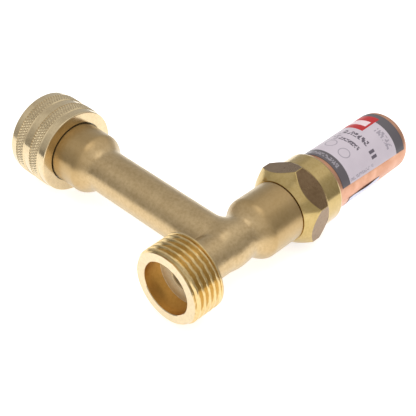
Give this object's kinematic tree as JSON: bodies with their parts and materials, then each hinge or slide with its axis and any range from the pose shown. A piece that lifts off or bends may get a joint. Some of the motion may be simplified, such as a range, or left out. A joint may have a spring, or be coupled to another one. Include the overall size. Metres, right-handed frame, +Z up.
{
  "type": "water hammer arrester tee",
  "caption": "Brass hose-thread tee with a knurled swivel inlet nut and a screwed-in copper gas chamber whose sealed piston cushions water hammer.",
  "frame": {"origin": "centre of the outlet face, the flat end of the male hose thread", "axes": "-Y out of the outlet along the run, -X out of the swivel inlet along the branch, +Z up from the plane that holds both axes"},
  "size_m": [0.1037, 0.1124, 0.0314],
  "materials": {
    "cast_brass": "satin, sand cast and tumbled",
    "nut_brass": "bright turned, diamond knurled bands",
    "turned_brass": "bright turned",
    "ring_wire": "drawn wire",
    "copper": "drawn copper, half bright",
    "washer_rubber": "matte",
    "seal_rubber": "greased",
    "piston_plastic": "moulded",
    "main_print": "printed film, semi gloss",
    "code_print": "printed film, semi gloss"
  },
  "bodies": {
    "tee": {"tee_body": "cast_brass", "nut_retaining_ring": "ring_wire", "cartridge_adaptor": "turned_brass", "adaptor_o_ring": "seal_rubber", "chamber": "copper", "chamber_o_ring": "seal_rubber", "main_label": "main_print", "code_label": "code_print"},
    "nut": {"swivel_nut": "nut_brass", "inlet_washer": "washer_rubber"},
    "piston": {"piston": "piston_plastic", "piston_o_ring_front": "seal_rubber", "piston_o_ring_rear": "seal_rubber"}
  },
  "joints": [
    {"name": "nut_swivel", "type": "hinge", "parent": "tee", "child": "nut", "pos_m": [-0.08, 0.0266, 0], "axis": [-1, 0, 0], "continuous": true},
    {"name": "piston_slide", "type": "slide", "parent": "tee", "child": "piston", "axis": [0, 1, 0], "range_m": [0, 0.022], "stiffness_N_per_m": 300, "springref_m": -0.002}
  ]
}
